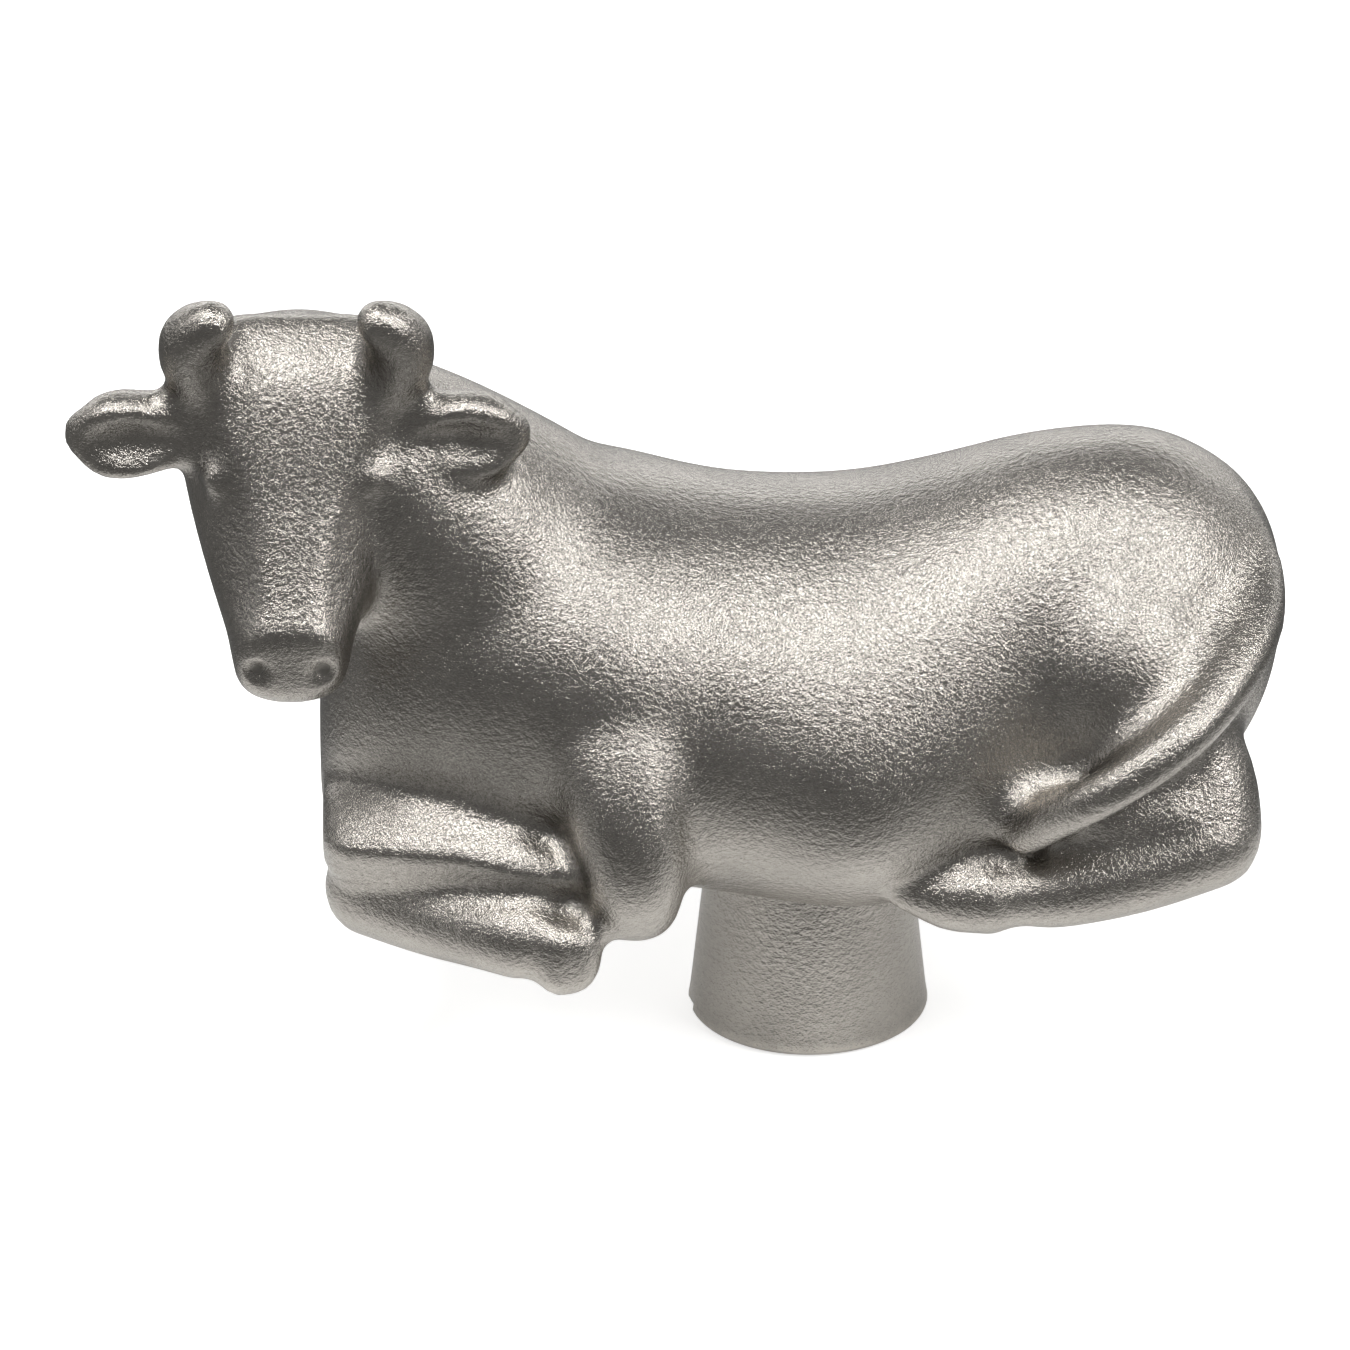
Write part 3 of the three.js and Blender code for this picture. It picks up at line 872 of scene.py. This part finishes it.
def turning_marks():
    """Rings that a lathe tool leaves round Z, on faces and sides alike."""
    group, given, result = new_group("Turning Marks", [("Feed", 0.00008)], ["Height", "Tone"])
    place = object_place(group)
    parts = group.nodes.new("ShaderNodeSeparateXYZ")
    group.links.new(place, parts.inputs[0])
    across = maths(group, "ADD", maths(group, "POWER", parts.outputs["X"], 2.0),
                   maths(group, "POWER", parts.outputs["Y"], 2.0))
    radius = maths(group, "SQRT", across, 0.0)
    ring = group.nodes.new("ShaderNodeCombineXYZ")
    group.links.new(radius, ring.inputs["X"])
    group.links.new(parts.outputs["Z"], ring.inputs["Y"])
    marks = noise(group, ring.outputs[0], maths(group, "DIVIDE", 1.0, given.outputs["Feed"]), 2.0, 0.6)
    stain = noise(group, place, STAIN_SCALE, 4.0)
    group.links.new(marks, result.inputs["Height"])
    group.links.new(stain, result.inputs["Tone"])
    return group


def place_group(tree, name, **values):
    node = tree.nodes.new("ShaderNodeGroup")
    node.node_tree = bpy.data.node_groups[name]
    for label, value in values.items():
        node.inputs[label.replace("_", " ")].default_value = value
    return node.outputs


def two_tones(tree, share, dark, light):
    ramp = tree.nodes.new("ShaderNodeValToRGB")
    ramp.color_ramp.elements[0].position = 0.3
    ramp.color_ramp.elements[1].position = 0.7
    ramp.color_ramp.elements[0].color = (*dark, 1)
    ramp.color_ramp.elements[1].color = (*light, 1)
    tree.links.new(share, ramp.inputs["Fac"])
    return ramp.outputs["Color"]


def blend_colour(tree, share, below, above):
    mix = tree.nodes.new("ShaderNodeMix")
    mix.data_type = "RGBA"
    tree.links.new(share, mix.inputs["Factor"])
    tree.links.new(below, mix.inputs["A"])
    mix.inputs["B"].default_value = (*above, 1)
    return mix.outputs["Result"]


def shaded(colour, share):
    """The colour made darker or, above 1, lighter."""
    return [min(share * value, 1) for value in colour]


def worn_colour(tree, tone, wear, colour, shares):
    """A metal's colour: uneven all over, brighter where it is rubbed and darker in the hollows."""
    uneven, rubbed, dulled = shares
    metal = two_tones(tree, tone, shaded(colour, uneven), colour)
    metal = blend_colour(tree, wear["Ridges"], metal, shaded(colour, rubbed))
    return blend_colour(tree, wear["Hollows"], metal, shaded(colour, dulled))


def bumped(tree, height, distance):
    bump = tree.nodes.new("ShaderNodeBump")
    bump.inputs["Distance"].default_value = distance
    tree.links.new(height, bump.inputs["Height"])
    return bump.outputs["Normal"]


def new_metal(name):
    material = bpy.data.materials.new(name)
    material.use_nodes = True
    shader = material.node_tree.nodes["Principled BSDF"]
    shader.inputs["Metallic"].default_value = 1
    return material.node_tree, shader.inputs


def satin_nickel(finish):
    tree, shader = new_metal("Satin Nickel")
    grain = place_group(tree, "Blasted Grain", Grain_Size=finish.grain_size, Roughness=finish.roughness,
                        Unevenness=NICKEL_UNEVENNESS)
    wear = place_group(tree, "Rubbed Edges", Sharpness=NICKEL_SHARPNESS)
    metal = worn_colour(tree, grain["Tone"], wear, finish.nickel, NICKEL_SHARES)
    polished = maths(tree, "MULTIPLY_ADD", wear["Ridges"], NICKEL_POLISH, grain["Roughness"])
    rough = maths(tree, "MULTIPLY_ADD", wear["Hollows"], NICKEL_DULLING, polished)
    tree.links.new(metal, shader["Base Color"])
    tree.links.new(rough, shader["Roughness"])
    tree.links.new(bumped(tree, grain["Height"], finish.grain_depth), shader["Normal"])


def turned_steel(name, colour, roughness, depth, feed):
    """Bright steel for the fixings, with tool marks and worn edges."""
    tree, shader = new_metal(name)
    marks = place_group(tree, "Turning Marks", Feed=feed)
    wear = place_group(tree, "Rubbed Edges", Sharpness=STEEL_SHARPNESS)
    metal = worn_colour(tree, marks["Tone"], wear, colour, STEEL_SHARES)
    rough = maths(tree, "MULTIPLY_ADD", marks["Tone"], STEEL_UNEVENNESS, roughness - STEEL_UNEVENNESS / 2)
    polished = maths(tree, "MULTIPLY_ADD", wear["Ridges"], STEEL_POLISH, rough)
    tree.links.new(metal, shader["Base Color"])
    tree.links.new(polished, shader["Roughness"])
    tree.links.new(bumped(tree, marks["Height"], depth), shader["Normal"])


def finishes(finish):
    """The shared node groups, and the three metals."""
    blasted_grain()
    rubbed_edges()
    turning_marks()
    satin_nickel(finish)
    turned_steel("Stainless Steel", finish.stainless, roughness=0.26, depth=0.000012, feed=0.00009)
    turned_steel("Spring Steel", finish.spring_steel, roughness=0.36, depth=0.00001, feed=0.0002)


def finished(obj, name, material, body, node):
    """Names the piece, gives it its metal, and ties it to the frame."""
    obj.name = name
    obj.data.name = name
    obj.data.materials.clear()
    obj.data.materials.append(bpy.data.materials[material])
    mark_wear(obj)
    activate(obj)
    bpy.ops.object.shade_smooth_by_angle(angle=math.radians(SMOOTH_ANGLE))
    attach(obj, body)
    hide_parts(node)
    return obj


# ---------------------------------------------------------------- studio

def paper():
    """White paper with a faint fibre. In the metal it shows a painted pool of light under the knob, where it
    glows though it is no lamp, and painted shade further out.
    """
    material = bpy.data.materials.new("Studio Paper")
    material.use_nodes = True
    tree = material.node_tree
    shader = tree.nodes["Principled BSDF"].inputs
    shader["Roughness"].default_value = 0.8
    shader["Emission Color"].default_value = (1, 1, 1, 1)
    place = object_place(tree)
    fibre = noise(tree, place, FIBRE_SCALE, 4.0)
    stretch = tree.nodes.new("ShaderNodeVectorMath")
    stretch.operation = "MULTIPLY"
    stretch.inputs[1].default_value = PAPER_LIT_STRETCH
    tree.links.new(place, stretch.inputs[0])
    length = tree.nodes.new("ShaderNodeVectorMath")
    length.operation = "LENGTH"
    tree.links.new(stretch.outputs[0], length.inputs[0])
    near, far = PAPER_LIT_REACH
    # Painted light: as the metal sees it, the paper keeps its full colour near the knob and is darkened to
    # painted shade further out.
    lit = spread(tree, length.outputs["Value"], near, far, 1, 0)
    seen = tree.nodes.new("ShaderNodeLightPath").outputs["Is Camera Ray"]
    bright = maths(tree, "MAXIMUM", seen, maths(tree, "MULTIPLY_ADD", lit, 1 - PAPER_DIM, PAPER_DIM))
    shade = tree.nodes.new("ShaderNodeMix")
    shade.data_type = "RGBA"
    shade.inputs["A"].default_value = (0, 0, 0, 1)
    tree.links.new(bright, shade.inputs["Factor"])
    tree.links.new(two_tones(tree, fibre, (0.84, 0.84, 0.83), (0.87, 0.87, 0.86)), shade.inputs["B"])
    tree.links.new(shade.outputs["Result"], shader["Base Color"])
    # Painted glow: as the metal sees it, the paper glows near the knob, though it is no lamp.
    painted_glow = maths(tree, "MULTIPLY", lit, PAPER_GLOW)
    glow = maths(tree, "MULTIPLY_ADD", seen, maths(tree, "SUBTRACT", PAPER_WHITE, painted_glow), painted_glow)
    tree.links.new(glow, shader["Emission Strength"])
    return material


def floor():
    deselect()
    bpy.ops.mesh.primitive_plane_add(size=FLOOR_SIZE, location=(0, 0, CAD_BOX[0][2] - FLOOR_GAP))
    sheet = bpy.context.object
    sheet.name = "studio_floor"
    bpy.ops.object.transform_apply(location=True, rotation=True, scale=True)
    sheet.data.materials.append(paper())


def soft_box(aim, azimuth, elevation, size, radiance):
    """A lamp that looks equally bright wherever it is seen from. Azimuth 0 is in front, and +90 at +X."""
    around, up = math.radians(azimuth), math.radians(elevation)
    towards = Vector((math.sin(around) * math.cos(up), -math.cos(around) * math.cos(up), math.sin(up)))
    bpy.ops.object.light_add(type="AREA", location=aim + towards * LAMP_DISTANCE)
    lamp = bpy.context.object
    lamp.data.shape = "RECTANGLE"
    lamp.data.size, lamp.data.size_y = size
    lamp.data.energy = radiance * math.pi * size[0] * size[1]
    lamp.rotation_euler = towards.to_track_quat("Z", "Y").to_euler()


def studio_air():
    """The room is white to the camera. In the metal it is dark at floor level and brighter above."""
    world = bpy.data.worlds.new("Studio")
    world.use_nodes = True
    tree = world.node_tree
    parts = tree.nodes.new("ShaderNodeSeparateXYZ")
    tree.links.new(tree.nodes.new("ShaderNodeTexCoord").outputs["Generated"], parts.inputs[0])
    ramp = tree.nodes.new("ShaderNodeValToRGB")
    tree.links.new(parts.outputs["Z"], ramp.inputs["Fac"])
    seen = tree.nodes.new("ShaderNodeLightPath").outputs["Is Camera Ray"]
    backdrop = blend_colour(tree, seen, ramp.outputs["Color"], (1, 1, 1))
    tree.links.new(backdrop, tree.nodes["Background"].inputs["Color"])
    first, last = ramp.color_ramp.elements
    (first.position, low), *middle, (last.position, high) = ROOM_GREYS
    first.color = (low, low, low, 1)
    last.color = (high, high, high, 1)
    for height, grey in middle:
        ramp.color_ramp.elements.new(height).color = (grey, grey, grey, 1)
    bpy.context.scene.world = world


def camera(aim):
    lift = math.radians(CAMERA_LIFT)
    place = aim + Vector((0, -math.cos(lift), math.sin(lift))) * CAMERA_DISTANCE
    bpy.ops.object.camera_add(location=place)
    eye = bpy.context.object
    eye.data.lens = CAMERA_LENS
    eye.data.clip_start = 0.01
    eye.rotation_euler = (place - aim).to_track_quat("Z", "Y").to_euler()
    bpy.context.scene.camera = eye


# ---------------------------------------------------------------- settings

class LidKnobStemSizes(bpy.types.PropertyGroup):
    foot_radius: FloatProperty(
        name="Foot Radius", description="Radius of the stem where it stands on the lid",
        default=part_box("stem")[1][0], min=0.005, max=0.01, unit="LENGTH", precision=5)
    shoulder_radius: FloatProperty(
        name="Shoulder Radius", description="Radius of the stem where it enters the belly",
        default=0.0054, min=0.004, max=0.008, unit="LENGTH", precision=5)
    shoulder_height: FloatProperty(
        name="Shoulder Height", description="Height of the taper above the foot",
        default=0.0106, min=0.008, max=0.012, unit="LENGTH", precision=5)
    edge_radius: FloatProperty(
        name="Edge Radius", description="Rounding of the foot's rim",
        default=0.00035, min=0.0001, max=0.001, unit="LENGTH", precision=5)
    counterbore_radius: FloatProperty(
        name="Counterbore Radius", description="Radius of the pocket for the screw's head",
        default=0.0049, min=0.0045, max=0.0055, unit="LENGTH", precision=5)
    counterbore_depth: FloatProperty(
        name="Counterbore Depth", description="Depth of the pocket for the screw's head",
        default=0.0057, min=0.004, max=0.007, unit="LENGTH", precision=5)
    thread_radius: FloatProperty(
        name="Thread Radius", description="Outside radius of the screw's thread",
        default=0.00247, min=0.0015, max=0.003, unit="LENGTH", precision=5)
    thread_depth: FloatProperty(
        name="Thread Depth", description="Depth of the thread from crest to root",
        default=0.00042, min=0.0001, max=0.0006, unit="LENGTH", precision=5)
    pitch: FloatProperty(
        name="Thread Pitch", description="How far the screw travels in one turn",
        default=0.0008, min=0.0004, max=0.0015, unit="LENGTH", precision=5)
    head_height: FloatProperty(
        name="Head Height", description="Height of the screw's head",
        default=0.003, min=0.002, max=0.004, unit="LENGTH", precision=5)
    slot_width: FloatProperty(
        name="Slot Width", description="Width of the screwdriver slot",
        default=0.0012, min=0.0008, max=0.0016, unit="LENGTH", precision=5)
    slot_depth: FloatProperty(
        name="Slot Depth", description="Depth of the screwdriver slot",
        default=0.0014, min=0.0008, max=0.002, unit="LENGTH", precision=5)


class LidKnobFinish(bpy.types.PropertyGroup):
    nickel: FloatVectorProperty(
        name="Nickel", description="Colour of the satin nickel", subtype="COLOR", size=3,
        default=(0.44, 0.415, 0.38), min=0, max=1)
    stainless: FloatVectorProperty(
        name="Stainless Steel", description="Colour of the screw and the plain washer", subtype="COLOR",
        size=3, default=(0.58, 0.58, 0.59), min=0, max=1)
    spring_steel: FloatVectorProperty(
        name="Spring Steel", description="Colour of the spring washer", subtype="COLOR", size=3,
        default=(0.38, 0.38, 0.39), min=0, max=1)
    roughness: FloatProperty(
        name="Roughness", description="How far the nickel blurs what it mirrors",
        default=0.22, min=0.05, max=0.6, subtype="FACTOR")
    grain_size: FloatProperty(
        name="Grain Size", description="Size of the blasted grain",
        default=0.0003, min=0.00005, max=0.001, unit="LENGTH", precision=5)
    grain_depth: FloatProperty(
        name="Grain Depth", description="Depth of the blasted grain",
        default=0.00009, min=0, max=0.0005, unit="LENGTH", precision=5)


class LidKnobSettings(bpy.types.PropertyGroup):
    sizes: PointerProperty(type=LidKnobStemSizes)
    finish: PointerProperty(type=LidKnobFinish)


# ---------------------------------------------------------------- operators

class LIDKNOB_OT_finishes(bpy.types.Operator):
    """Mix the nickel and the steels"""

    bl_idname = "lidknob.finishes"
    bl_label = "Metals"

    def execute(self, context):
        finishes(context.scene.lid_knob.finish)
        return {"FINISHED"}


class LIDKNOB_OT_casting(bpy.types.Operator):
    """Build the cast cow with the socket in its belly"""

    bl_idname = "lidknob.casting"
    bl_label = "Cast Cow"

    def execute(self, context):
        figure = figure_casting()
        cut_socket(figure, context.scene.lid_knob.sizes)
        finished(figure, "cow_casting", "Satin Nickel", "knob", "figure_casting")
        return {"FINISHED"}


class LIDKNOB_OT_stem(bpy.types.Operator):
    """Turn the tapered stem"""

    bl_idname = "lidknob.stem"
    bl_label = "Stem"

    def execute(self, context):
        finished(stem(context.scene.lid_knob.sizes), "tapered_stem", "Satin Nickel", "knob", "stem")
        return {"FINISHED"}


class LIDKNOB_OT_screw(bpy.types.Operator):
    """Turn the fixing screw and cut its thread and slot"""

    bl_idname = "lidknob.screw"
    bl_label = "Fixing Screw"

    def execute(self, context):
        finished(fixing_screw(context.scene.lid_knob.sizes), "cheese_head_screw", "Stainless Steel", "screw",
                 "fixing_screw")
        return {"FINISHED"}


class LIDKNOB_OT_washers(bpy.types.Operator):
    """Stamp the plain washer and split the spring washer"""

    bl_idname = "lidknob.washers"
    bl_label = "Washers"

    def execute(self, context):
        finished(plain_washer(), "flat_washer", "Stainless Steel", "washers", "plain_washer")
        finished(spring_washer(), "split_washer", "Spring Steel", "washers", "spring_washer")
        return {"FINISHED"}


class LIDKNOB_OT_studio(bpy.types.Operator):
    """Lay the floor and set the lights and the camera"""

    bl_idname = "lidknob.studio"
    bl_label = "Studio"

    def execute(self, context):
        aim = Vector(CAMERA_AIM) * MM
        floor()
        for azimuth, elevation, size, radiance in SOFT_BOXES:
            soft_box(aim, azimuth, elevation, size, radiance)
        studio_air()
        camera(aim)
        context.scene.view_settings.view_transform = "Standard"
        return {"FINISHED"}


class LIDKNOB_PT_panel(bpy.types.Panel):
    """The lid knob's settings and the buttons that build it"""

    bl_idname = "LIDKNOB_PT_panel"
    bl_label = "Lid Knob"
    bl_space_type = "VIEW_3D"
    bl_region_type = "UI"
    bl_category = "Lid Knob"

    def draw(self, context):
        settings = context.scene.lid_knob
        for group in (settings.sizes, settings.finish):
            column = self.layout.column(align=True)
            for label in group.__annotations__:
                column.prop(group, label)
        for entry in OPERATORS:
            self.layout.operator(entry.bl_idname)


OPERATORS = (LIDKNOB_OT_finishes, LIDKNOB_OT_casting, LIDKNOB_OT_stem, LIDKNOB_OT_screw, LIDKNOB_OT_washers,
             LIDKNOB_OT_studio)
CLASSES = (LidKnobStemSizes, LidKnobFinish, LidKnobSettings) + OPERATORS + (LIDKNOB_PT_panel,)


def register():
    for entry in CLASSES:
        bpy.utils.register_class(entry)
    bpy.types.Scene.lid_knob = PointerProperty(type=LidKnobSettings)


def unregister():
    del bpy.types.Scene.lid_knob
    for entry in reversed(CLASSES):
        bpy.utils.unregister_class(entry)


def main():
    register()
    bpy.ops.lidknob.finishes()
    bpy.ops.lidknob.casting()
    bpy.ops.lidknob.stem()
    bpy.ops.lidknob.screw()
    bpy.ops.lidknob.washers()
    bpy.ops.lidknob.studio()
    bpy.context.view_layer.update()


if __name__ == "__main__":
    main()
